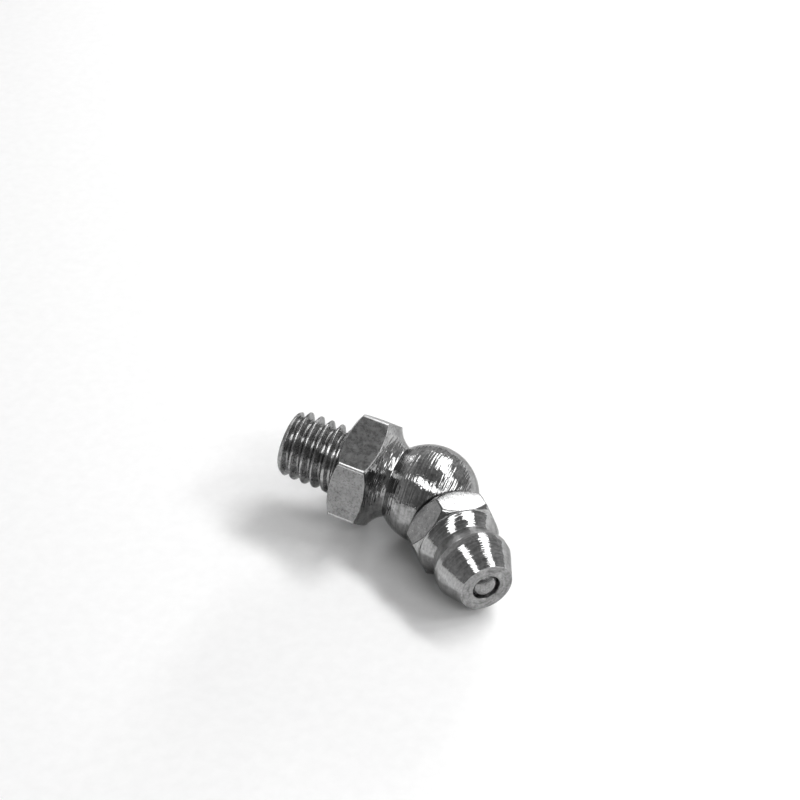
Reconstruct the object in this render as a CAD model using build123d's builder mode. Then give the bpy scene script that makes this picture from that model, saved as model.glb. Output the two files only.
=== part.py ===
from build123d import *
import math
import os

# Grease nipple with a 45 degree ball elbow, lying on its side as it comes to rest.
# Millimetres, +Z up. X runs below the thread's axis towards the thread's end.

# Threaded shank, M6 x 1
THREAD_R = 3.0
THREAD_PITCH = 1.0
THREAD_LENGTH = 5.5
THREAD_CREST = THREAD_PITCH / 8
THREAD_ROOT_R = 2.42
THREAD_ROOT_FLAT = 0.2
GROOVE_START = -0.04
GROOVE_RISE = 6.6
GROOVE_MARGIN = 0.06
BAR_TURN = 190.0
TIP_CHAMFER_RADIAL = 0.35
TIP_CHAMFER_LENGTH = 0.6

# Hexagon on the elbow body, 9 mm across flats
HEX_FLATS = 9.0
HEX_BALL_FACE = 4.3
HEX_THREAD_FACE = 7.6
HEX_CHAMFER = 30.0
HEX_CHAMFER_LENGTH = 0.5
HEX_TURN = -53.75

# Ball and neck of the elbow
BALL_R = 4.3
BALL_POLE = 4.2
NECK_START = 2.98
NECK_MIDDLE = (3.7, 3.6)
PASSAGE_R = 1.2
DRILL_POINT = 0.7
ELBOW_ANGLE = 135.0

# Head: all distances are from the ball's centre along the head's axis
SPOT_FACE = 3.5
SPIGOT_R = 2.0
SPIGOT_END = 2.1
SPIGOT_CHAMFER = 0.2
COLLAR_FLATS = 7.0
COLLAR_BACK_CORNER = 4.5
COLLAR_BACK_R = 3.2
COLLAR_FRONT_CORNER = 5.8
COLLAR_FRONT = 6.3
COLLAR_TURN = -31.75
WAIST_START_R = 3.45
WAIST_MIDDLE = (6.7, 3.13)
WAIST_BOTTOM = (7.45, 2.72)
LAND_BACK = 8.9
LAND_FRONT = 9.52
LAND_R = 3.3
FACE = 11.94
FACE_R = 2.28

# Valve inside the head
MOUTH_R = 1.19
SEAT_EDGE = 11.5
BORE_R = 1.5
CHECK_BALL_R = 1.4
CHECK_BALL_GAP = 0.01
LIP_R = 0.85
LIP_FRONT = 2.6
SPRING_WIRE_R = 0.175
SPRING_R = 1.1
SPRING_TURNS = 3.5
SPRING_GAP = 0.02

# How it lies: it rests on the ball, on one corner of each hexagon
PITCH_UP = 9.297
ROLL = 1.951
BALL_X = -1.658
BALL_Y = -2.613

lying = Plane(Location((BALL_X, BALL_Y, BALL_R), (0, -PITCH_UP, 0)) * Location((0, 0, 0), (ROLL, 0, 0)))
bent = Plane(lying.location * Location((0, 0, 0), (0, 0, ELBOW_ANGLE)))
thread_axis = Axis(lying.origin, lying.x_dir)
head_axis = Axis(bent.origin, bent.x_dir)
# Planes square to the two axes, with the bend's normal as their X
across_thread = Plane(lying.origin, x_dir=lying.z_dir, z_dir=lying.x_dir)
across_head = Plane(bent.origin, x_dir=bent.z_dir, z_dir=bent.x_dir)


def corner_radius(flats):
    """Distance of a hexagon's corners from its axis."""
    return flats / math.sqrt(3)


# The 9 mm hexagon, its corners turned off at 30 degrees on both faces
hex_corner = corner_radius(HEX_FLATS)
hex_drop = HEX_CHAMFER_LENGTH / math.tan(math.radians(HEX_CHAMFER))
with BuildPart() as body_hexagon:
    with BuildSketch(across_thread.offset(HEX_BALL_FACE)):
        RegularPolygon(HEX_FLATS / 2, 6, major_radius=False, rotation=HEX_TURN)
    extrude(amount=HEX_THREAD_FACE - HEX_BALL_FACE)
    with BuildSketch(lying):
        with BuildLine():
            Polyline(
                (HEX_BALL_FACE, 0),
                (HEX_BALL_FACE, hex_corner - hex_drop),
                (HEX_BALL_FACE + HEX_CHAMFER_LENGTH, hex_corner),
                (HEX_THREAD_FACE - HEX_CHAMFER_LENGTH, hex_corner),
                (HEX_THREAD_FACE, hex_corner - hex_drop),
                (HEX_THREAD_FACE, 0),
                close=True,
            )
        make_face()
    revolve(axis=thread_axis, mode=Mode.INTERSECT)

# The shank: a plain round bar with its tip turned off, then the helical groove, which starts just
# inside the hexagon and leaves past the tip
shank_start = HEX_THREAD_FACE - 1.0
shank_end = HEX_THREAD_FACE + THREAD_LENGTH
groove_half_root = THREAD_ROOT_FLAT / 2
groove_half_crest = (THREAD_PITCH - THREAD_CREST) / 2
flank_slope = (groove_half_crest - groove_half_root) / (THREAD_R - THREAD_ROOT_R)
groove_half_top = groove_half_crest + GROOVE_MARGIN * flank_slope
groove_plane = across_thread.offset(HEX_THREAD_FACE + GROOVE_START)
groove_section = Plane(groove_plane.origin, x_dir=groove_plane.x_dir, z_dir=-groove_plane.y_dir)
with BuildPart() as shank:
    with BuildSketch(Plane(across_thread.location * Location((0, 0, shank_start), (0, 0, BAR_TURN)))):
        Circle(THREAD_R)
    extrude(amount=shank_end - shank_start)
    with BuildSketch(lying):
        with BuildLine():
            Polyline(
                (shank_end - TIP_CHAMFER_LENGTH, THREAD_R),
                (shank_end + TIP_CHAMFER_LENGTH, THREAD_R - 2 * TIP_CHAMFER_RADIAL),
                (shank_end + TIP_CHAMFER_LENGTH, THREAD_R + 1),
                (shank_end - TIP_CHAMFER_LENGTH, THREAD_R + 1),
                close=True,
            )
        make_face()
    revolve(axis=thread_axis, mode=Mode.SUBTRACT)
    with BuildLine(groove_plane):
        turns = Helix(THREAD_PITCH, GROOVE_RISE, THREAD_R, direction=groove_plane.z_dir)
    with BuildSketch(groove_section):
        with BuildLine():
            Polyline(
                (THREAD_ROOT_R, -groove_half_root),
                (THREAD_R + GROOVE_MARGIN, -groove_half_top),
                (THREAD_R + GROOVE_MARGIN, groove_half_top),
                (THREAD_ROOT_R, groove_half_root),
                close=True,
            )
        make_face()
    sweep(path=turns, is_frenet=True, mode=Mode.SUBTRACT)

# The elbow body: ball, neck, hexagon and shank in one piece of steel
neck_r = math.sqrt(BALL_R**2 - NECK_START**2)
pole_r = math.sqrt(BALL_R**2 - BALL_POLE**2)
hex_face_r = hex_corner - hex_drop
with BuildPart() as elbow_body:
    with BuildSketch(lying):
        with BuildLine():
            Line((-BALL_POLE, 0), (-BALL_POLE, pole_r))
            ThreePointArc((-BALL_POLE, pole_r), (0, BALL_R), (NECK_START, neck_r))
            ThreePointArc((NECK_START, neck_r), NECK_MIDDLE, (HEX_BALL_FACE, hex_face_r))
            Polyline(
                (HEX_BALL_FACE, hex_face_r),
                (shank_start, hex_face_r),
                (shank_start, 0),
                (-BALL_POLE, 0),
            )
        make_face()
    revolve(axis=thread_axis)
    add(body_hexagon.part)
    add(shank.part)
    # Spot face for the collar, cross hole for the spigot, drilled passage behind it
    with BuildSketch(across_head.offset(SPOT_FACE)):
        Circle(BALL_R)
    extrude(amount=BALL_R, mode=Mode.SUBTRACT)
    with BuildSketch(across_head.offset(SPIGOT_END)):
        Circle(SPIGOT_R)
    extrude(amount=BALL_R, mode=Mode.SUBTRACT)
    with BuildSketch(across_head):
        Circle(PASSAGE_R)
    extrude(amount=BALL_R, mode=Mode.SUBTRACT)
    # Grease passage along the shank, its drill point just past the ball's centre
    with BuildSketch(lying):
        with BuildLine():
            Polyline(
                (-DRILL_POINT, 0),
                (0, PASSAGE_R),
                (shank_end + 1, PASSAGE_R),
                (shank_end + 1, 0),
                close=True,
            )
        make_face()
    revolve(axis=thread_axis, mode=Mode.SUBTRACT)

# The collar's hexagon, its corners turned off on both faces
collar_corner = corner_radius(COLLAR_FLATS)
spigot_root = SPOT_FACE + 1
collar_front_r = collar_corner - (COLLAR_FRONT - COLLAR_FRONT_CORNER)
with BuildPart() as collar_hexagon:
    with BuildSketch(across_head.offset(SPOT_FACE)):
        RegularPolygon(COLLAR_FLATS / 2, 6, major_radius=False, rotation=COLLAR_TURN)
    extrude(amount=COLLAR_FRONT - SPOT_FACE)
    with BuildSketch(bent):
        with BuildLine():
            Polyline(
                (SPOT_FACE, 0),
                (SPOT_FACE, COLLAR_BACK_R),
                (COLLAR_BACK_CORNER, collar_corner),
                (COLLAR_FRONT_CORNER, collar_corner),
                (COLLAR_FRONT, collar_front_r),
                (COLLAR_FRONT, 0),
                close=True,
            )
        make_face()
    revolve(axis=head_axis, mode=Mode.INTERSECT)

# The head: spigot, collar, waist and coupler cone turned from one piece, then bored
seat_depth = BORE_R - MOUTH_R
with BuildPart() as nipple_head:
    with BuildSketch(bent):
        with BuildLine():
            Polyline(
                (COLLAR_FRONT, WAIST_START_R),
                (spigot_root, WAIST_START_R),
                (spigot_root, SPIGOT_R),
                (SPIGOT_END + SPIGOT_CHAMFER, SPIGOT_R),
                (SPIGOT_END, SPIGOT_R - SPIGOT_CHAMFER),
                (SPIGOT_END, 0),
                (FACE, 0),
                (FACE, FACE_R),
                (LAND_FRONT, LAND_R),
                (LAND_BACK, LAND_R),
                WAIST_BOTTOM,
            )
            ThreePointArc(WAIST_BOTTOM, WAIST_MIDDLE, (COLLAR_FRONT, WAIST_START_R))
        make_face()
    revolve(axis=head_axis)
    add(collar_hexagon.part)
    with BuildSketch(bent):
        with BuildLine():
            Polyline(
                (SPIGOT_END - 1, 0),
                (SPIGOT_END - 1, LIP_R),
                (LIP_FRONT, LIP_R),
                (LIP_FRONT, BORE_R),
                (SEAT_EDGE - seat_depth, BORE_R),
                (SEAT_EDGE, MOUTH_R),
                (FACE + 1, MOUTH_R),
                (FACE + 1, 0),
                close=True,
            )
        make_face()
    revolve(axis=head_axis, mode=Mode.SUBTRACT)

# The check ball, pressed forward against the edge behind the mouth
ball_behind_edge = math.sqrt(CHECK_BALL_R**2 - MOUTH_R**2)
check_centre = SEAT_EDGE - ball_behind_edge - CHECK_BALL_GAP
with BuildPart() as check_ball:
    with Locations(across_head.offset(check_centre)):
        Sphere(CHECK_BALL_R)

# The valve spring, between the rolled lip and the back of the check ball
spring_back = LIP_FRONT + SPRING_WIRE_R + SPRING_GAP
coil_reach = math.sqrt((CHECK_BALL_R + SPRING_WIRE_R + SPRING_GAP) ** 2 - SPRING_R**2)
spring_front = check_centre - coil_reach
spring_plane = across_head.offset(spring_back)
spring_rise = spring_front - spring_back
with BuildPart() as valve_spring:
    with BuildLine(spring_plane):
        coil = Helix(spring_rise / SPRING_TURNS, spring_rise, SPRING_R, direction=spring_plane.z_dir)
    with BuildSketch(Plane(coil @ 0, z_dir=coil % 0)):
        Circle(SPRING_WIRE_R)
    sweep(path=coil, is_frenet=True)

os.makedirs("parts", exist_ok=True)
elbow_body.part.label = "elbow_body"
export_step(elbow_body.part, "parts/elbow_body.step")
nipple_head.part.label = "nipple_head"
export_step(nipple_head.part, "parts/nipple_head.step")
check_ball.part.label = "check_ball"
export_step(check_ball.part, "parts/check_ball.step")
valve_spring.part.label = "valve_spring"
export_step(valve_spring.part, "parts/valve_spring.step")
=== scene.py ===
import math

import bpy
import numpy as np
from mathutils import Matrix, Vector


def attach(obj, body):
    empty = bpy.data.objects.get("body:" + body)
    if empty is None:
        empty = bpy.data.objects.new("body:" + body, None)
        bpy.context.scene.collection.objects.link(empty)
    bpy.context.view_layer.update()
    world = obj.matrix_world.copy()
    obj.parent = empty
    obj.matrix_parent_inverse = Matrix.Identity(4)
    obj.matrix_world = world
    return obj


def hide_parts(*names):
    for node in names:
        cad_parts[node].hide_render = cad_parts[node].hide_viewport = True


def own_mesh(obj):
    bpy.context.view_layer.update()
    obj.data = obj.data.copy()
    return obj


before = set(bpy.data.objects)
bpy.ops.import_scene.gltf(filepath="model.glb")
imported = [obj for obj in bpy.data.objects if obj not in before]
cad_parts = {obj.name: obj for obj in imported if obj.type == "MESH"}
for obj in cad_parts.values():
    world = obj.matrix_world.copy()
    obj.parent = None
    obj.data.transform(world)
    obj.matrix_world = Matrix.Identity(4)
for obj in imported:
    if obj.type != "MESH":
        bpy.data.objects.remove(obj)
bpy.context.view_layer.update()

# An elbow grease nipple that lies on its side. The thread's axis and the head's axis cross in the
# ball's centre. Sizes are in millimetres, and a place along either axis is its distance from there.
MM = 0.001
UP = Vector((0.0, 0.0, 1.0))
FULL_TURN = 2 * math.pi
HALF_SIDE = math.radians(30.0)

# ---------------------------------------------------------------- sizes
# How it lies on the floor
BALL_R = 4.3
BALL_CENTRE = Vector((-1.658, -2.613, BALL_R)) * MM
PITCH_UP = math.radians(9.297)
ROLL = math.radians(1.951)
ELBOW_ANGLE = math.radians(135.0)
LYING = Matrix.Rotation(-PITCH_UP, 4, "Y") @ Matrix.Rotation(ROLL, 4, "X")
THREAD_FRAME = Matrix.Translation(BALL_CENTRE) @ LYING
HEAD_FRAME = THREAD_FRAME @ Matrix.Rotation(ELBOW_ANGLE, 4, "Z")

# Ball, neck and grease passage. A point of an outline is a place along the axis and a radius.
BALL_POLE = 4.2
NECK_START = 2.98
NECK_MIDDLE = (3.7, 3.6)
NECK_FILLET = 0.05
PASSAGE_R = 1.2
DRILL_POINT = 0.7

# Hexagon of the body. A hexagon's turn is where one corner stands, in degrees round the axis from the top.
HEX_FLATS = 9.0
HEX_BALL_FACE = 4.3
HEX_THREAD_FACE = 7.6
HEX_CHAMFER = math.radians(30.0)
HEX_CHAMFER_LENGTH = 0.5
HEX_TURN = -53.75
HEX_FILLET = 0.34
HEX_EDGE = 0.11

# Threaded shank
THREAD_R = 3.0
THREAD_ROOT_R = 2.42
THREAD_PITCH = 1.0
THREAD_TURNS = 7
SHANK_END = 13.1
GROOVE_START = 7.56
GROOVE_HALF_ROOT = 0.09
GROOVE_HALF_CREST = 0.445
CREST_ROUNDING = 0.2
RUN_OUT_START = 7.81
RUN_OUT_LENGTH = 0.8
TIP_CHAMFER_RADIAL = 0.35
TIP_CHAMFER_LENGTH = 0.6

# Spigot of the head, and the cross hole and spot face that the ball has for it
SPOT_FACE = 3.5
SPOT_R = 4.0
SPIGOT_R = 2.0
SPIGOT_END = 2.1
SPIGOT_CHAMFER = 0.2

# Collar, waist and cone of the head
COLLAR_FLATS = 7.0
COLLAR_TURN = -31.75
COLLAR_BACK_R = 3.2
COLLAR_BACK_CORNER = 4.5
COLLAR_FRONT_CORNER = 5.8
COLLAR_FRONT = 6.3
COLLAR_FILLET = 0.15
COLLAR_EDGE = 0.06
WAIST_START_R = 3.45
WAIST_MIDDLE = (6.7, 3.13)
WAIST_JOIN = (7.3, 2.77)
WAIST_BOTTOM = (7.45, 2.72)
LAND_BACK = 8.9
LAND_FRONT = 9.52
LAND_R = 3.3
FACE = 11.94
FACE_R = 2.28
FACE_FILLET = 0.05
LAND_FRONT_FILLET = 0.25
LAND_BACK_FILLET = 0.15
WAIST_FILLET = 0.1

# Valve inside the head
LIP_R = 0.85
LIP_FRONT = 2.6
BORE_R = 1.5
SEAT_EDGE = 11.5
MOUTH_R = 1.19
CHECK_BALL_R = 1.4
CHECK_BALL_GAP = 0.01
SPRING_WIRE_R = 0.175
SPRING_R = 1.1
SPRING_TURNS = 3.5
SPRING_START = math.radians(97.965)
SPRING_GAP = 0.02

# Material slots: those of both turned pieces, the body's own, and the head's own
TURNED, FLATS, BORE, EDGES = 0, 1, 2, 4
THREAD, CORNERS = 3, 5
MOUTH_FACE, CONE_BACK = 3, 5


# ---------------------------------------------------------------- hexagons
def corner_reach(flats, fillet):
    """Half the angle that a hexagon's rounded corner takes up."""
    middle = (flats / 2 - fillet) / math.cos(HALF_SIDE)
    return math.atan2(fillet * math.sin(HALF_SIDE), middle + fillet * math.cos(HALF_SIDE))


def spread_angles(first_corner, reach, step):
    """Angles round a hexagon, close together at its six corners. step is in degrees."""
    near = np.degrees(reach) * np.arange(6) / 5
    half = list(near) + list(np.arange(near[-1] + 0.8, 30.0, step))
    side = sorted({-round(a, 4) for a in half} | {round(a, 4) for a in half} | {30.0})
    return np.array([math.radians(first_corner + 60.0 * k + a) for k in range(6) for a in side])


def from_corner(angle, first_corner):
    """Angle from the nearest corner of a hexagon, in radians."""
    off = np.degrees(angle) - first_corner
    return np.radians((off + 30.0) % 60.0 - 30.0)


def hexagon_radius(angle, first_corner, flats, fillet):
    """Distance from the axis to a hexagon with rounded corners."""
    off = from_corner(angle, first_corner)
    flat = flats / 2 / np.cos(HALF_SIDE - np.abs(off))
    middle = (flats / 2 - fillet) / math.cos(HALF_SIDE)
    inside = np.clip(fillet**2 - (middle * np.sin(off)) ** 2, 0.0, None)
    arc = middle * np.cos(off) + np.sqrt(inside)
    return np.where(np.abs(off) < corner_reach(flats, fillet), arc, flat)


def side_slots(angle, first_corner, reach, corner_slot):
    """Material slot of each face round a hexagon: one for its flats, one for its rounded corners."""
    near = np.abs(from_corner(angle, first_corner)) < reach * 1.01
    return np.where(near & np.roll(near, -1), corner_slot, FLATS)


# ---------------------------------------------------------------- outlines
def arc3(a, b, c, n):
    """n points along the circle through a, b and c, ends included."""
    ax, ay = a
    bx, by = b
    cx, cy = c
    a2, b2, c2 = ax**2 + ay**2, bx**2 + by**2, cx**2 + cy**2
    d = 2 * (ax * (by - cy) + bx * (cy - ay) + cx * (ay - by))
    ux = (a2 * (by - cy) + b2 * (cy - ay) + c2 * (ay - by)) / d
    uy = (a2 * (cx - bx) + b2 * (ax - cx) + c2 * (bx - ax)) / d
    r = math.hypot(ax - ux, ay - uy)
    start = math.atan2(ay - uy, ax - ux)
    through = (math.atan2(by - uy, bx - ux) - start) % FULL_TURN
    sweep = (math.atan2(cy - uy, cx - ux) - start) % FULL_TURN
    if through > sweep:
        sweep -= FULL_TURN
    turns = start + np.linspace(0, 1, n) * sweep
    return [(ux + r * math.cos(t), uy + r * math.sin(t)) for t in turns]


def soften(points, radii, steps):
    """Rounds the corners of an open outline. radii maps a point's index to its radius."""
    out = []
    for i, p in enumerate(points):
        if i not in radii:
            out.append(p)
            continue
        before, corner, after = (np.array(q) for q in (points[i - 1], p, points[i + 1]))
        length_in = np.linalg.norm(before - corner)
        length_out = np.linalg.norm(after - corner)
        u = (before - corner) / length_in
        w = (after - corner) / length_out
        half = math.acos(max(-1, min(1, float(u @ w)))) / 2
        cut = min(radii[i] / math.tan(half), 0.45 * length_in, 0.45 * length_out)
        r = cut * math.tan(half)
        centre = corner + (u + w) / np.linalg.norm(u + w) * (r / math.sin(half))
        a = corner + u * cut - centre
        b = corner + w * cut - centre
        sweep = math.acos(max(-1, min(1, float(a @ b) / r**2)))
        for s in np.linspace(0, 1, steps + 1):
            q = (math.sin((1 - s) * sweep) * a + math.sin(s * sweep) * b) / math.sin(sweep)
            out.append(tuple(centre + q))
    return out


def divide(points, step):
    """The same outline in stretches of about step, without its last point."""
    out = []
    for (ax, ar), (bx, br) in zip(points, points[1:]):
        parts = max(1, int(math.hypot(bx - ax, br - ar) / step))
        out += [(ax + (bx - ax) * k / parts, ar + (br - ar) * k / parts) for k in range(parts)]
    return out


# ---------------------------------------------------------------- meshes
def axes(frame_matrix):
    """Origin, axis, and the two directions square to it that angles are measured from."""
    m = np.array(frame_matrix)
    along = m[:3, 0]
    up = m[:3, 2]
    return m[:3, 3], along, up, np.cross(along, up)


def circle(frame_matrix, angles):
    """Unit directions away from the axis, one for each angle."""
    _, _, up, across = axes(frame_matrix)
    return np.cos(angles)[:, None] * up + np.sin(angles)[:, None] * across


def new_object(name, verts, faces, materials=()):
    mesh = bpy.data.meshes.new(name)
    mesh.from_pydata([tuple(p) for p in verts], [], faces)
    for m in materials:
        mesh.materials.append(m)
    mesh.update()
    obj = bpy.data.objects.new(name, mesh)
    bpy.context.scene.collection.objects.link(obj)
    return obj


def face_outwards(obj):
    """Turns the skin's faces so that its volume is positive."""
    mesh = obj.data
    co = np.zeros(len(mesh.vertices) * 3)
    mesh.vertices.foreach_get("co", co)
    co = co.reshape(-1, 3)
    co = co - co.mean(0)
    mesh.calc_loop_triangles()
    tri = np.zeros(len(mesh.loop_triangles) * 3, np.int32)
    mesh.loop_triangles.foreach_get("vertices", tri)
    a, b, c = (co[corner] for corner in tri.reshape(-1, 3).T)
    if np.einsum("ij,ij->i", a, np.cross(b, c)).sum() < 0:
        mesh.flip_normals()


def weigh_normals(obj):
    """Keeps the shading of flat faces flat beside their rounded edges."""
    m = obj.modifiers.new("weighted", "WEIGHTED_NORMAL")
    m.mode = "FACE_AREA"
    m.weight = 50
    m.keep_sharp = True


class Turned:
    """A closed skin made of rings round an axis. Each ring has a place along it and a radius."""

    def __init__(self, angles):
        self.angles = angles
        self.rings = []
        self.slots = []

    def ring(self, along, radius, slot=TURNED):
        """Each value may change round the ring. slot is that of the strip which ends at this ring."""
        n = len(self.angles)
        along = np.broadcast_to(np.asarray(along, float), n)
        radius = np.broadcast_to(np.asarray(radius, float), n)
        self.rings.append((along, radius))
        self.slots.append(np.broadcast_to(np.asarray(slot, int), n))

    def profile(self, points, slot=TURNED):
        for x, r in points:
            self.ring(x, r, slot)

    def build(self, name, frame_matrix, materials, start=None, end=None):
        """start and end are where closed ends meet the axis. Without them the rings form a loop."""
        o, t, _, _ = axes(frame_matrix)
        outward = circle(frame_matrix, self.angles)
        verts = [o + (x[:, None] * t + r[:, None] * outward) * MM for x, r in self.rings]
        verts = list(np.concatenate(verts))
        faces = []
        slots = []
        n = len(self.angles)
        last = len(self.rings) - 1
        j = np.arange(n)
        k = (j + 1) % n
        strips = [(i, i + 1) for i in range(last)]
        if start is None:
            strips.append((last, 0))
        for a, b in strips:
            faces += np.stack([a * n + j, a * n + k, b * n + k, b * n + j], 1).tolist()
            slots += self.slots[b].tolist()
        if start is not None:
            verts.append(o + t * start * MM)
            faces += [[len(verts) - 1, int(q), int(p)] for p, q in zip(j, k)]
            slots += self.slots[0].tolist()
            verts.append(o + t * end * MM)
            faces += [[len(verts) - 1, int(last * n + p), int(last * n + q)] for p, q in zip(j, k)]
            slots += self.slots[-1].tolist()
        obj = new_object(name, verts, faces, materials)
        obj.data.polygons.foreach_set("material_index", np.array(slots, np.int32))
        obj.data.polygons.foreach_set("use_smooth", np.ones(len(faces), bool))
        obj.data.update()
        face_outwards(obj)
        return obj


def cut_hole(obj, radius, bottom, top, sides=96):
    """Takes a round hole about the head's axis out of obj."""
    o, t, _, _ = axes(HEAD_FRAME)
    outward = circle(HEAD_FRAME, np.arange(sides) * FULL_TURN / sides)
    verts = [o + (t * x + radius * q) * MM for x in (bottom, top) for q in outward]
    faces = [[k, (k + 1) % sides, sides + (k + 1) % sides, sides + k] for k in range(sides)]
    faces += [list(range(sides))[::-1], list(range(sides, 2 * sides))]
    drill = new_object("cutter", verts, faces)
    mesh = drill.data
    face_outwards(drill)
    hole = obj.modifiers.new("hole", "BOOLEAN")
    hole.operation = "DIFFERENCE"
    hole.solver = "EXACT"
    hole.object = drill
    bpy.context.view_layer.objects.active = obj
    with bpy.context.temp_override(object=obj, active_object=obj, selected_objects=[obj]):
        bpy.ops.object.modifier_apply(modifier="hole")
    bpy.data.objects.remove(drill)
    bpy.data.meshes.remove(mesh)


# ---------------------------------------------------------------- material nodes
def node_tree(name):
    mat = bpy.data.materials.new(name)
    mat.use_nodes = True
    nt = mat.node_tree
    nt.nodes.clear()
    out = nt.nodes.new("ShaderNodeOutputMaterial")
    shader = nt.nodes.new("ShaderNodeBsdfPrincipled")
    nt.links.new(shader.outputs["BSDF"], out.inputs["Surface"])
    return mat, nt, shader


def place(nt, frame_matrix):
    """Coordinates in millimetres along and across a piece's own axis."""
    coord = nt.nodes.new("ShaderNodeTexCoord")
    mapping = nt.nodes.new("ShaderNodeMapping")
    mapping.vector_type = "TEXTURE"
    mapping.inputs["Location"].default_value = frame_matrix.to_translation()
    mapping.inputs["Rotation"].default_value = frame_matrix.to_euler()
    mapping.inputs["Scale"].default_value = (MM, MM, MM)
    nt.links.new(coord.outputs["Object"], mapping.inputs["Vector"])
    return mapping.outputs["Vector"]


def split_xyz(nt, vector):
    n = nt.nodes.new("ShaderNodeSeparateXYZ")
    nt.links.new(vector, n.inputs[0])
    return n.outputs["X"], n.outputs["Y"], n.outputs["Z"]


def join_xyz(nt, x, y, z):
    """None stands for zero."""
    n = nt.nodes.new("ShaderNodeCombineXYZ")
    for i, value in enumerate((x, y, z)):
        if value is not None:
            nt.links.new(value, n.inputs[i])
    return n.outputs[0]


def maths(nt, kind, a, b=None, clamp=False):
    n = nt.nodes.new("ShaderNodeMath")
    n.operation = kind
    n.use_clamp = clamp
    for i, value in enumerate((a, b)):
        if value is None:
            continue
        if isinstance(value, (int, float)):
            n.inputs[i].default_value = value
        else:
            nt.links.new(value, n.inputs[i])
    return n.outputs[0]


def add(nt, *values):
    total = values[0]
    for value in values[1:]:
        total = maths(nt, "ADD", total, value)
    return total


def times(nt, a, b):
    return maths(nt, "MULTIPLY", a, b)


def noise(nt, vector, scale, detail=2.0, roughness=0.5):
    n = nt.nodes.new("ShaderNodeTexNoise")
    n.inputs["Scale"].default_value = scale
    n.inputs["Detail"].default_value = detail
    n.inputs["Roughness"].default_value = roughness
    nt.links.new(vector, n.inputs["Vector"])
    return n.outputs["Fac"]


def ramp(nt, value, lo, hi, a, b):
    """a where value is lo or less, b where it is hi or more, and even in between."""
    n = nt.nodes.new("ShaderNodeMapRange")
    n.inputs["From Min"].default_value = lo
    n.inputs["From Max"].default_value = hi
    n.inputs["To Min"].default_value = a
    n.inputs["To Max"].default_value = b
    nt.links.new(value, n.inputs["Value"])
    return n.outputs["Result"]


def grey(nt, value):
    n = nt.nodes.new("ShaderNodeCombineColor")
    for i in range(3):
        nt.links.new(value, n.inputs[i])
    return n.outputs["Color"]


def set_bump(nt, shader, height, depth):
    """depth is how far, in millimetres, a height of 1 stands out."""
    bump = nt.nodes.new("ShaderNodeBump")
    bump.inputs["Strength"].default_value = 1.0
    bump.inputs["Distance"].default_value = depth * MM
    nt.links.new(height, bump.inputs["Height"])
    nt.links.new(bump.outputs["Normal"], shader.inputs["Normal"])


def set_plating(shader):
    """Zinc plated metal, which mirrors less at a glancing angle than clean metal does."""
    rim = 0.55
    shader.inputs["Specular Tint"].default_value = (rim, rim, rim, 1.0)
    shader.inputs["Metallic"].default_value = 1.0


# ---------------------------------------------------------------- materials
def axis_distance(nt, y, z):
    return maths(nt, "SQRT", add(nt, maths(nt, "POWER", y, 2.0), maths(nt, "POWER", z, 2.0)))


def thread_roots(nt):
    """Darker towards the roots of the thread."""
    full_tone_r = 2.6
    _, y, z = split_xyz(nt, place(nt, THREAD_FRAME))
    return ramp(nt, axis_distance(nt, y, z), THREAD_ROOT_R, full_tone_r, 0.7, 1.0)


def painted_collar_gap_shade(nt):
    """Painted shade: a dark ring on the ball, in the narrow gap behind the collar where its shadow falls.
    """
    gap_starts, gap_is_dark = 3.07, 3.15
    along, _, _ = split_xyz(nt, place(nt, HEAD_FRAME))
    return ramp(nt, along, gap_starts, gap_is_dark, 1.0, 0.12)


def stretch_gloss(nt, shader, frame_matrix, y, z):
    """The finest tool marks lie round the axis and spread the light along it."""
    spin = nt.nodes.new("ShaderNodeVectorRotate")
    spin.rotation_type = "EULER_XYZ"
    spin.inputs["Rotation"].default_value = frame_matrix.to_euler()
    nt.links.new(join_xyz(nt, None, times(nt, z, -1.0), y), spin.inputs["Vector"])
    nt.links.new(spin.outputs[0], shader.inputs["Tangent"])
    shader.inputs["Anisotropic"].default_value = 0.7
    shader.inputs["Anisotropic Rotation"].default_value = 0.25


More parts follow.
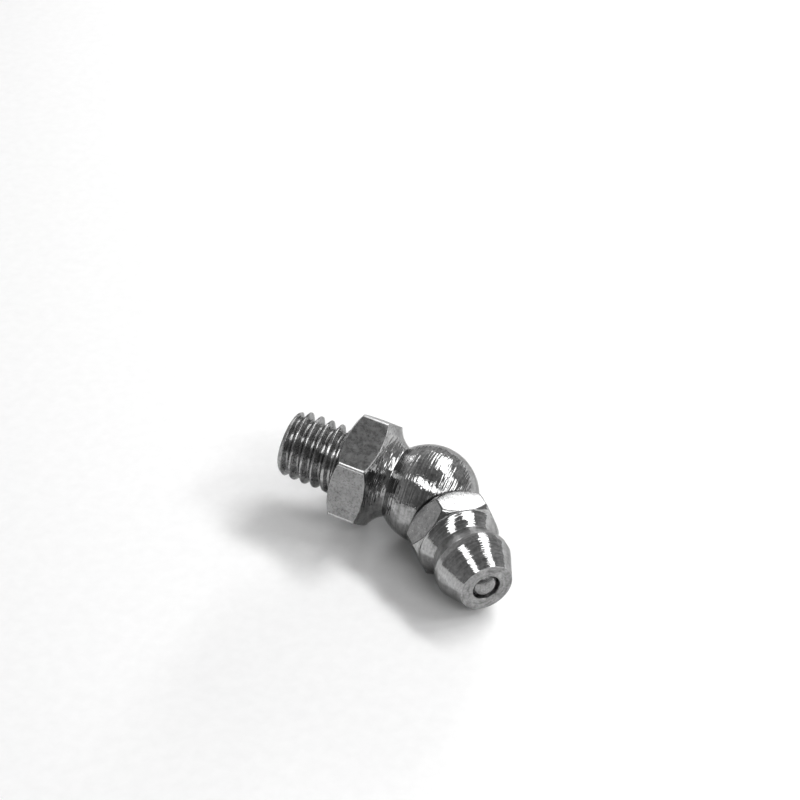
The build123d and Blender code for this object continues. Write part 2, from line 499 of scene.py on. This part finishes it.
def turned_steel(name, frame_matrix, tone, rough, mark, lines, cloudy=0.05, darkening=None):
    """Bright plated steel with the rings that the tool left round the axis.

    mark is the depth of the rings in millimetres, and lines says how fine they are.
    """
    mat, nt, shader = node_tree(name)
    where = place(nt, frame_matrix)
    x, y, z = split_xyz(nt, where)
    radius = axis_distance(nt, y, z)
    turn = maths(nt, "ARCTAN2", z, y)

    def ring_noise(scale, drift, shift, detail):
        """Noise drawn out round the axis. drift is how fast it changes on the way round."""
        return noise(nt, join_xyz(nt, x, add(nt, radius, shift), times(nt, turn, drift)), scale, detail)

    broad = ring_noise(lines, 0.6, 0.0, 1.0)
    fine = ring_noise(lines * 2.2, 0.4, 7.0, 1.0)
    ridge = maths(nt, "ABSOLUTE", add(nt, ring_noise(lines * 1.5, 0.5, 3.0, 0.0), -0.5))
    patchy = noise(nt, where, 0.9)
    cloud = noise(nt, where, 1.3, 4.0, 0.6)
    speck = noise(nt, where, 4.5, 2.0, 0.6)

    rings = add(nt, times(nt, broad, 0.6), times(nt, fine, 0.4), times(nt, ridge, 1.2))
    rings = times(nt, rings, ramp(nt, patchy, 0.35, 0.65, 0.4, 1.0))
    set_bump(nt, shader, add(nt, rings, times(nt, speck, 0.12)), mark)

    lines_shade = ramp(nt, fine, 0.3, 0.7, -0.07, 0.05)
    cloud_shade = ramp(nt, cloud, 0.3, 0.7, -cloudy, cloudy)
    speck_shade = ramp(nt, speck, 0.35, 0.7, 0.05, -0.07)
    shade = maths(nt, "ADD", add(nt, lines_shade, cloud_shade, speck_shade), tone, clamp=True)
    # An optional darkening multiplies the tone: painted shade in the gap behind the collar, and a darker
    # tone towards the thread's roots
    if darkening:
        shade = times(nt, shade, darkening(nt))
    nt.links.new(grey(nt, shade), shader.inputs["Base Color"])

    dull = ramp(nt, cloud, 0.3, 0.75, rough * 0.8, rough * 1.3)
    dull = add(nt, dull, ramp(nt, speck, 0.4, 0.8, -0.02, 0.05))
    nt.links.new(dull, shader.inputs["Roughness"])
    stretch_gloss(nt, shader, frame_matrix, y, z)
    set_plating(shader)
    return mat


def flat_steel(name, frame_matrix, tone, rough, blotchy, mark=0.009):
    """Drawn bar flats under plating: a faint mottle, small pits and lines along the bar."""
    mat, nt, shader = node_tree(name)
    where = place(nt, frame_matrix)
    along_bar = nt.nodes.new("ShaderNodeVectorMath")
    along_bar.operation = "MULTIPLY"
    along_bar.inputs[1].default_value = (0.35, 1.0, 1.0)
    nt.links.new(where, along_bar.inputs[0])
    drawn = noise(nt, along_bar.outputs[0], 4.0, 3.0, 0.6)
    cloud = noise(nt, where, 0.8, 3.0, 0.6)
    mottle = noise(nt, where, 2.3, 3.0, 0.65)
    pits = noise(nt, where, 5.0, 2.0, 0.6)

    height = add(nt, times(nt, drawn, 0.8), times(nt, pits, 0.8), times(nt, mottle, 0.8))
    set_bump(nt, shader, height, mark)

    cloud_shade = ramp(nt, cloud, 0.3, 0.7, -0.04, 0.04)
    mottle_shade = ramp(nt, mottle, 0.3, 0.7, -blotchy, blotchy)
    pit_shade = ramp(nt, pits, 0.5, 0.75, 0.02, -0.12)
    shade = maths(nt, "ADD", add(nt, cloud_shade, mottle_shade, pit_shade), tone, clamp=True)
    nt.links.new(grey(nt, shade), shader.inputs["Base Color"])
    nt.links.new(ramp(nt, mottle, 0.3, 0.75, rough * 0.75, rough * 1.4), shader.inputs["Roughness"])
    set_plating(shader)
    return mat


def white_paper():
    mat, nt, shader = node_tree("white_floor")
    coord = nt.nodes.new("ShaderNodeTexCoord")
    grain = noise(nt, coord.outputs["Object"], 900.0, 3.0, 0.6)
    nt.links.new(grey(nt, ramp(nt, grain, 0.3, 0.7, 0.86, 0.89)), shader.inputs["Base Color"])
    shader.inputs["Roughness"].default_value = 0.9
    shader.inputs["Specular IOR Level"].default_value = 0.2
    return mat


# name, frame, tone, roughness, then mark and lines for turned steel and blotchy for the flats
body_turned = turned_steel(
    # the ball's tone carries painted shade in the gap behind the collar
    "body_turned", THREAD_FRAME, 0.34, 0.12, 0.068, 2.7, cloudy=0.09, darkening=painted_collar_gap_shade
)
body_flats = flat_steel("body_flats", THREAD_FRAME, 0.265, 0.28, 0.035)
body_thread = turned_steel(
    "body_thread", THREAD_FRAME, 0.36, 0.24, 0.06, 3.0, cloudy=0.1, darkening=thread_roots
)
body_bore = turned_steel("body_bore", THREAD_FRAME, 0.3, 0.38, 0.02, 8.0)
body_edges = turned_steel("body_edges", THREAD_FRAME, 0.33, 0.3, 0.01, 3.0)
# the hexagon's rounded corners: the flats' steel with a far brighter tone, painted highlights along its
# corner lines
body_corners_painted_highlight = turned_steel("body_corners_painted_highlight", THREAD_FRAME, 0.7, 0.34, 0.01, 3.0)
head_turned = turned_steel("head_turned", HEAD_FRAME, 0.385, 0.11, 0.028, 3.2, cloudy=0.08)
head_flats = flat_steel("head_flats", HEAD_FRAME, 0.43, 0.22, 0.1)
head_face = turned_steel("head_face", HEAD_FRAME, 0.31, 0.36, 0.012, 3.0, cloudy=0.1)
head_back = turned_steel("head_back", HEAD_FRAME, 0.39, 0.36, 0.015, 3.0, cloudy=0.1)
head_bore = turned_steel("head_bore", HEAD_FRAME, 0.2, 0.4, 0.02, 8.0)
# the collar's rounded corners and edge strips: the flats' steel with a far darker tone, painted shade along
# its edges
head_edges_painted_dark = turned_steel("head_edges_painted_dark", HEAD_FRAME, 0.16, 0.35, 0.01, 3.0)
ball_steel = turned_steel("ball_steel", HEAD_FRAME, 0.3, 0.22, 0.006, 3.0)
spring_steel = turned_steel("spring_steel", HEAD_FRAME, 0.4, 0.3, 0.004, 9.0)


# ---------------------------------------------------------------- elbow body
# Bare numbers of up to 0.12 mm in the outlines break an edge, or set a ring close beside one so
# that its shading stays sharp. Shares such as 0.3, and radii such as 1.9, only divide a face.
def add_ball_and_neck(body, face_r, ball_rings=64, neck_rings=18):
    """The ball, from its parting flat round to the neck, and the neck up to the hexagon."""
    pole_r = math.sqrt(BALL_R**2 - BALL_POLE**2)
    neck_r = math.sqrt(BALL_R**2 - NECK_START**2)
    for r in (0.3, pole_r - 0.12, pole_r - 0.03):
        body.ring(-BALL_POLE, r)
    turns = np.linspace(math.atan2(pole_r, -BALL_POLE), math.atan2(neck_r, NECK_START), ball_rings)
    ball = [(BALL_R * math.cos(a), BALL_R * math.sin(a)) for a in turns]
    neck = arc3((NECK_START, neck_r), NECK_MIDDLE, (HEX_BALL_FACE, face_r), neck_rings)
    outline = soften(ball + neck[1:], {ball_rings - 1: NECK_FILLET}, 3)
    body.profile(outline[:-1])


def add_hexagon(body, face_r, hexagon, slots):
    """The hexagon. Its chamfers meet the flats in curves, so the rings there follow the hexagon."""
    slope = math.tan(HEX_CHAMFER)
    setback = HEX_EDGE * slope
    ball_edge = HEX_BALL_FACE + (hexagon - face_r) * slope
    thread_edge = HEX_THREAD_FACE - (hexagon - face_r) * slope
    rounding = np.radians(np.linspace(0.0, 60.0, 6))
    body.ring(HEX_BALL_FACE + 0.006, face_r + 0.012)
    for s in (0.3, 0.6):
        body.ring(HEX_BALL_FACE + s * (ball_edge - HEX_BALL_FACE), face_r + s * (hexagon - face_r))
    for k, a in enumerate(rounding[::-1]):
        x = ball_edge + setback - HEX_EDGE * math.sin(a)
        body.ring(x, hexagon - HEX_EDGE * (1 - math.cos(a)), EDGES if k else TURNED)
    for s in (0.25, 0.5, 0.75):
        body.ring((ball_edge + setback) * (1 - s) + (thread_edge - setback) * s, hexagon, slots)
    for k, a in enumerate(rounding):
        x = thread_edge - setback + HEX_EDGE * math.sin(a)
        body.ring(x, hexagon - HEX_EDGE * (1 - math.cos(a)), EDGES if k else slots)
    for s in (0.6, 0.3):
        body.ring(HEX_THREAD_FACE + s * (thread_edge - HEX_THREAD_FACE), face_r + s * (hexagon - face_r))
    body.ring(HEX_THREAD_FACE - 0.02, face_r + 0.04)
    body.ring(HEX_THREAD_FACE, face_r - 0.04)


def thread_radius(x, angle):
    """Radius of the threaded shank at a place along it. The groove runs out towards the hexagon."""
    turn = (np.degrees(angle) % 360.0) / 360.0
    depth = THREAD_R - THREAD_ROOT_R
    lowest = np.full_like(turn, THREAD_R)
    for n in range(THREAD_TURNS):
        middle = GROOVE_START + (n + turn) * THREAD_PITCH
        root = THREAD_R - depth * np.clip((middle - RUN_OUT_START) / RUN_OUT_LENGTH, 0.0, 1.0)
        off = np.abs(x - middle) - GROOVE_HALF_ROOT
        flank = np.clip(off / (GROOVE_HALF_CREST - GROOVE_HALF_ROOT), 0.0, 1.0)
        rounded = flank * flank * (3 - 2 * flank)
        flank = (1 - CREST_ROUNDING) * flank + CREST_ROUNDING * rounded
        lowest = np.minimum(lowest, root + flank * depth)
    return lowest


def add_shank(body, angles, rings=184):
    """The hexagon's face on the thread's side, the threaded shank and its end face."""
    for x, r in ((0.0, 3.7), (0.0, 3.16), (0.01, 3.06), (0.06, THREAD_R)):
        body.ring(HEX_THREAD_FACE + x, r, THREAD)
    chamfer_start = SHANK_END - TIP_CHAMFER_LENGTH
    for x in np.linspace(HEX_THREAD_FACE + 0.1, SHANK_END - 0.03, rings):
        chamfer = TIP_CHAMFER_RADIAL * max(0.0, (x - chamfer_start) / TIP_CHAMFER_LENGTH)
        body.ring(x, np.minimum(thread_radius(x, angles), THREAD_R - chamfer), THREAD)
    tip = np.minimum(thread_radius(SHANK_END, angles), THREAD_R - TIP_CHAMFER_RADIAL)
    for r in (tip - 0.03, 1.9, PASSAGE_R + 0.07):
        body.ring(SHANK_END, r, THREAD)


def add_passage(body):
    """The grease passage, from the shank's end to its drill point inside the ball."""
    body.ring(SHANK_END - 0.02, PASSAGE_R + 0.02, BORE)
    for x in (SHANK_END - 0.08, 9.0, 4.5, 0.0):
        body.ring(x, PASSAGE_R, BORE)
    body.ring(-DRILL_POINT / 2, PASSAGE_R / 2, BORE)


def build_elbow():
    reach = corner_reach(HEX_FLATS, HEX_FILLET)
    angles = spread_angles(HEX_TURN, reach, step=3.2)
    hexagon = hexagon_radius(angles, HEX_TURN, HEX_FLATS, HEX_FILLET)
    slots = side_slots(angles, HEX_TURN, reach, CORNERS)
    face_r = HEX_FLATS / math.sqrt(3) - HEX_CHAMFER_LENGTH / math.tan(HEX_CHAMFER)
    body = Turned(angles)
    add_ball_and_neck(body, face_r)
    add_hexagon(body, face_r, hexagon, slots)
    add_shank(body, angles)
    add_passage(body)
    materials = [body_turned, body_flats, body_bore, body_thread, body_edges, body_corners_painted_highlight]
    skin = body.build("elbow_skin", THREAD_FRAME, materials, start=-BALL_POLE, end=-DRILL_POINT)
    # both cutters end a little above the ball
    cut_hole(skin, SPOT_R, SPOT_FACE, BALL_R + 0.9)
    cut_hole(skin, SPIGOT_R, SPIGOT_END, BALL_R + 0.2)
    weigh_normals(skin)
    return skin


elbow = build_elbow()
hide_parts("elbow_body")
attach(elbow, "fitting")


# ---------------------------------------------------------------- head
def add_bore(head):
    """The rolled lip that holds the spring, the bore, the valve seat and the mouth."""
    seat_back = SEAT_EDGE - (BORE_R - MOUTH_R)
    head.profile([(SPIGOT_END, LIP_R + 0.02), (SPIGOT_END + 0.04, LIP_R), (LIP_FRONT - 0.04, LIP_R)], BORE)
    head.profile([(LIP_FRONT, LIP_R + 0.05), (LIP_FRONT, BORE_R), (7.0, BORE_R), (seat_back, BORE_R)], BORE)
    head.profile([(SEAT_EDGE - 0.01, MOUTH_R + 0.01), (SEAT_EDGE + 0.04, MOUTH_R)], BORE)
    head.ring(FACE - 0.06, MOUTH_R, BORE)
    mouth_edge = [(FACE - 0.025, MOUTH_R + 0.01), (FACE, MOUTH_R + 0.045), (FACE, MOUTH_R + 0.11)]
    head.profile(mouth_edge, MOUTH_FACE)


def add_cone(head):
    """The face round the mouth, the coupler cone, its land and the cone behind it."""
    corners = [(FACE, 1.6), (FACE, FACE_R), (LAND_FRONT, LAND_R), (LAND_BACK, LAND_R)]
    fillets = {1: FACE_FILLET, 2: LAND_FRONT_FILLET, 3: LAND_BACK_FILLET, 4: WAIST_FILLET}
    outline = soften(corners + [WAIST_BOTTOM, WAIST_JOIN], fillets, 5)
    for x, r in divide(outline, 0.25):
        if x > FACE - 0.005:
            slot = MOUTH_FACE
        elif x > LAND_BACK - 0.05:
            slot = TURNED
        else:
            slot = CONE_BACK
        head.ring(x, r, slot)


def add_waist(head, rings=30):
    """The hollow between the cone and the collar."""
    waist = arc3(WAIST_BOTTOM, WAIST_MIDDLE, (COLLAR_FRONT, WAIST_START_R), rings)
    head.profile([p for p in waist if p[0] < WAIST_JOIN[0]])
    head.ring(COLLAR_FRONT, WAIST_START_R + 0.03)


def add_collar(head, collar, slots):
    """The collar's hexagon. Its turned faces meet the flats in curves, as on the body."""
    corner_r = COLLAR_FLATS / math.sqrt(3)
    front_r = corner_r - (COLLAR_FRONT - COLLAR_FRONT_CORNER)
    back_slope = (COLLAR_BACK_CORNER - SPOT_FACE) / (corner_r - COLLAR_BACK_R)
    front_edge = COLLAR_FRONT - np.clip(collar - front_r, 0.0, None)
    back_edge = SPOT_FACE + np.clip(collar - COLLAR_BACK_R, 0.0, None) * back_slope
    flat_r = np.minimum(collar, front_r)
    setback = np.minimum(COLLAR_EDGE, COLLAR_FRONT - front_edge)
    head.ring(COLLAR_FRONT - 0.002, flat_r - 0.012)
    head.ring((COLLAR_FRONT + front_edge) / 2, (flat_r + collar) / 2 - 0.006)
    head.ring(front_edge + 0.5 * setback, collar - 0.5 * setback)
    head.ring(front_edge - 0.2 * COLLAR_EDGE, collar - 0.14 * COLLAR_EDGE, EDGES)
    head.ring(front_edge - COLLAR_EDGE, collar, EDGES)
    for s in (0.3, 0.65, 1.0):
        head.ring((front_edge - COLLAR_EDGE) * (1 - s) + (back_edge + COLLAR_EDGE) * s, collar, slots)
    head.ring(back_edge + 0.2 * COLLAR_EDGE, collar - 0.14 * COLLAR_EDGE, EDGES)
    head.ring(back_edge - COLLAR_EDGE * back_slope, collar - COLLAR_EDGE, EDGES)
    head.ring((SPOT_FACE + back_edge) / 2, (COLLAR_BACK_R + collar) / 2)


def add_spigot(head):
    """The collar's seat on the ball, and the spigot pressed into it."""
    chamfer_top = SPIGOT_END + SPIGOT_CHAMFER
    chamfer_r = SPIGOT_R - SPIGOT_CHAMFER
    head.profile([(SPOT_FACE + 0.02, COLLAR_BACK_R + 0.02), (SPOT_FACE, COLLAR_BACK_R - 0.03)])
    head.profile([(SPOT_FACE, SPIGOT_R + 0.06), (SPOT_FACE - 0.03, SPIGOT_R)])
    head.profile([(chamfer_top + 0.03, SPIGOT_R), (chamfer_top - 0.02, SPIGOT_R - 0.02)])
    head.profile([(SPIGOT_END + 0.02, chamfer_r + 0.02), (SPIGOT_END, chamfer_r - 0.02), (SPIGOT_END, 1.0)])


def build_head():
    reach = corner_reach(COLLAR_FLATS, COLLAR_FILLET)
    angles = spread_angles(COLLAR_TURN, reach, step=3.0)
    collar = hexagon_radius(angles, COLLAR_TURN, COLLAR_FLATS, COLLAR_FILLET)
    head = Turned(angles)
    add_bore(head)
    add_cone(head)
    add_waist(head)
    add_collar(head, collar, side_slots(angles, COLLAR_TURN, reach, EDGES))
    add_spigot(head)
    materials = [head_turned, head_flats, head_bore, head_face, head_edges_painted_dark, head_back]
    skin = head.build("nipple_skin", HEAD_FRAME, materials)
    weigh_normals(skin)
    return skin


nipple = build_head()
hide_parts("nipple_head")
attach(nipple, "fitting")

# ---------------------------------------------------------------- check ball
check_centre = SEAT_EDGE - math.sqrt(CHECK_BALL_R**2 - MOUTH_R**2) - CHECK_BALL_GAP


def build_check_ball(sides=128, rings=64):
    back = check_centre - CHECK_BALL_R
    front = check_centre + CHECK_BALL_R
    ball = Turned(np.arange(sides) * FULL_TURN / sides)
    for a in np.linspace(math.pi, 0.0, rings + 2)[1:-1]:
        ball.ring(check_centre + CHECK_BALL_R * math.cos(a), CHECK_BALL_R * math.sin(a))
    return ball.build("check_ball_skin", HEAD_FRAME, [ball_steel], start=back, end=front)


valve = build_check_ball()
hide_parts("check_ball")
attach(valve, "valve")

# ---------------------------------------------------------------- valve spring
spring_back = LIP_FRONT + SPRING_WIRE_R + SPRING_GAP
coil_reach = math.sqrt((CHECK_BALL_R + SPRING_WIRE_R + SPRING_GAP) ** 2 - SPRING_R**2)
spring_rise = check_centre - coil_reach - spring_back


def build_spring(steps=140, sides=20):
    o, t, _, _ = axes(HEAD_FRAME)
    share = np.linspace(0.0, 1.0, steps)
    angle = SPRING_START + share * SPRING_TURNS * FULL_TURN
    outward = circle(HEAD_FRAME, angle)
    onward = circle(HEAD_FRAME, angle + math.pi / 2)
    run = onward * SPRING_R * SPRING_TURNS * FULL_TURN + t * spring_rise
    run /= np.linalg.norm(run, axis=1)[:, None]
    sideways = np.cross(run, outward)
    middle = t * (spring_back + share[:, None] * spring_rise) + outward * SPRING_R
    lines = []
    for a in np.arange(sides) * FULL_TURN / sides:
        wire = SPRING_WIRE_R * (math.cos(a) * outward + math.sin(a) * sideways)
        lines.append(o + (middle + wire) * MM)
    verts = np.stack(lines, 1).reshape(-1, 3)
    ends = [list(range(sides))[::-1], list(range((steps - 1) * sides, steps * sides))]
    strips = []
    for i in range(steps - 1):
        for k in range(sides):
            q = (k + 1) % sides
            strips.append([i * sides + k, i * sides + q, (i + 1) * sides + q, (i + 1) * sides + k])
    smooth = [False] * len(ends) + [True] * len(strips)
    obj = new_object("spring_skin", verts, ends + strips, [spring_steel])
    obj.data.polygons.foreach_set("use_smooth", np.array(smooth))
    obj.data.update()
    face_outwards(obj)
    return obj


spring = build_spring()
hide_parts("valve_spring")
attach(spring, "fitting")
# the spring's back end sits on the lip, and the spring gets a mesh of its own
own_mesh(spring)

# ---------------------------------------------------------------- camera
CAMERA_PLACE = Vector((-49.3811, 117.1222, 103.2411)) * MM
CAMERA_HEADING = math.radians(-67.2105)
CAMERA_DOWN = math.radians(34.667)
CAMERA_ROLL = math.radians(-0.5463)
FOCAL_PIXELS = 1905.93
PHOTO_PIXELS = 800.0
SENSOR_WIDTH = 36.0

forward = Vector((math.cos(CAMERA_HEADING), math.sin(CAMERA_HEADING), 0.0))
to_right = forward.cross(UP)


def add_camera():
    data = bpy.data.cameras.new("camera")
    data.sensor_width = SENSOR_WIDTH
    data.lens = FOCAL_PIXELS / PHOTO_PIXELS * SENSOR_WIDTH
    data.clip_start = 0.005
    data.clip_end = 20.0
    camera = bpy.data.objects.new("camera", data)
    bpy.context.scene.collection.objects.link(camera)
    ahead = forward * math.cos(CAMERA_DOWN) - UP * math.sin(CAMERA_DOWN)
    right = to_right * math.cos(CAMERA_ROLL) + to_right.cross(ahead) * math.sin(CAMERA_ROLL)
    facing = Matrix((right, right.cross(ahead), -ahead)).transposed().to_4x4()
    camera.matrix_world = Matrix.Translation(CAMERA_PLACE) @ facing
    bpy.context.scene.camera = camera


add_camera()


# ---------------------------------------------------------------- floor
def build_floor(half=3.0):
    """A white sheet under the part. half is half its side, in metres."""
    corners = [(-half, -half, 0.0), (half, -half, 0.0), (half, half, 0.0), (-half, half, 0.0)]
    return new_object("floor", corners, [[0, 1, 2, 3]], [white_paper()])


floor = build_floor()

# ---------------------------------------------------------------- lights
# CEILING is how high the panels hang, in metres
CEILING = 0.5
PANEL_BRIGHTNESS = 4.4
ROOM_AT_HORIZON = 0.374
ROOM_OVERHEAD = 0.264


def towards(azimuth, elevation):
    """Direction from the part, in degrees. Azimuth 0 is away from the camera, positive to its right."""
    a = math.radians(azimuth)
    e = math.radians(elevation)
    level = forward * math.cos(a) + to_right * math.sin(a)
    return level * math.cos(e) + UP * math.sin(e)


def area_light(name, centre, width, height, power):
    """A rectangular lamp that the camera doesn't see. Sizes are in metres and power in watts."""
    data = bpy.data.lights.new(name, "AREA")
    data.shape = "RECTANGLE"
    data.size = width
    data.size_y = height
    data.energy = power
    lamp = bpy.data.objects.new(name, data)
    bpy.context.scene.collection.objects.link(lamp)
    lamp.location = centre
    lamp.visible_camera = False
    return lamp


def softbox(name, azimuth, elevation, distance, width, height, power):
    """Lights the floor and casts the shadow; the steel mirrors the wider panels instead."""
    away = towards(azimuth, elevation)
    lamp = area_light(name, away * distance, width, height, power)
    lamp.rotation_euler = away.to_track_quat("Z", "Y").to_euler()
    lamp.visible_glossy = False


def panel(name, right, away, width, length, turn=0.0):
    """A white panel overhead that the steel mirrors. turn is in degrees.

    Its place and size are in ceiling heights, as the part sees them.
    """
    centre = (to_right * right + forward * away + UP) * CEILING
    power = PANEL_BRIGHTNESS * math.pi * width * length * CEILING**2
    lamp = area_light(name, centre, width * CEILING, length * CEILING, power)
    lamp.rotation_euler = (0.0, 0.0, CAMERA_HEADING - math.pi / 2 - math.radians(turn))
    lamp.visible_diffuse = False


# name, azimuth, elevation, distance, width, height, power
softbox("key", 58.0, 54.0, 0.3, 0.155, 0.038, 0.54)
softbox("side", 104.0, 45.0, 0.3, 0.095, 0.042, 0.21)
softbox("front", 150.0, 39.0, 0.6, 0.3, 0.1, 1.12)
softbox("far", 20.0, 15.0, 0.3, 0.063, 0.063, 0.36)
# name, right, away, width, length
panel("panel_right_far", 0.68, 0.85, 0.62, 1.5)
panel("panel_right_near", 1.12, -0.38, 0.8, 1.0)
panel("panel_behind", -0.1, -0.6, 0.36, 0.9, turn=-48.0)
panel("panel_behind_right", 0.5, -0.98, 0.6, 0.4)
panel("panel_left", -0.84, 1.45, 0.36, 0.7)


def add_room():
    """The room's light: stronger towards the horizon, and beyond the part rather than behind the camera."""
    world = bpy.data.worlds.new("room")
    bpy.context.scene.world = world
    world.use_nodes = True
    nt = world.node_tree
    nt.nodes.clear()
    out = nt.nodes.new("ShaderNodeOutputWorld")
    back = nt.nodes.new("ShaderNodeBackground")
    direction = nt.nodes.new("ShaderNodeTexCoord").outputs["Generated"]
    _, _, height = split_xyz(nt, direction)
    level = ramp(nt, height, 0.05, 0.9, ROOM_AT_HORIZON, ROOM_OVERHEAD)
    level.node.interpolation_type = "SMOOTHSTEP"
    bright_side = nt.nodes.new("ShaderNodeVectorMath")
    bright_side.operation = "DOT_PRODUCT"
    bright_side.inputs[1].default_value = towards(-10.0, 0.0)
    nt.links.new(direction, bright_side.inputs[0])
    sides = add(nt, times(nt, bright_side.outputs["Value"], 0.65), 1.0)
    nt.links.new(times(nt, level, sides), back.inputs["Strength"])
    back.inputs["Color"].default_value = (1.0, 1.0, 1.0, 1.0)
    nt.links.new(back.outputs["Background"], out.inputs["Surface"])


add_room()
bpy.context.scene.view_settings.view_transform = "Standard"
bpy.context.scene.view_settings.exposure = 0.0
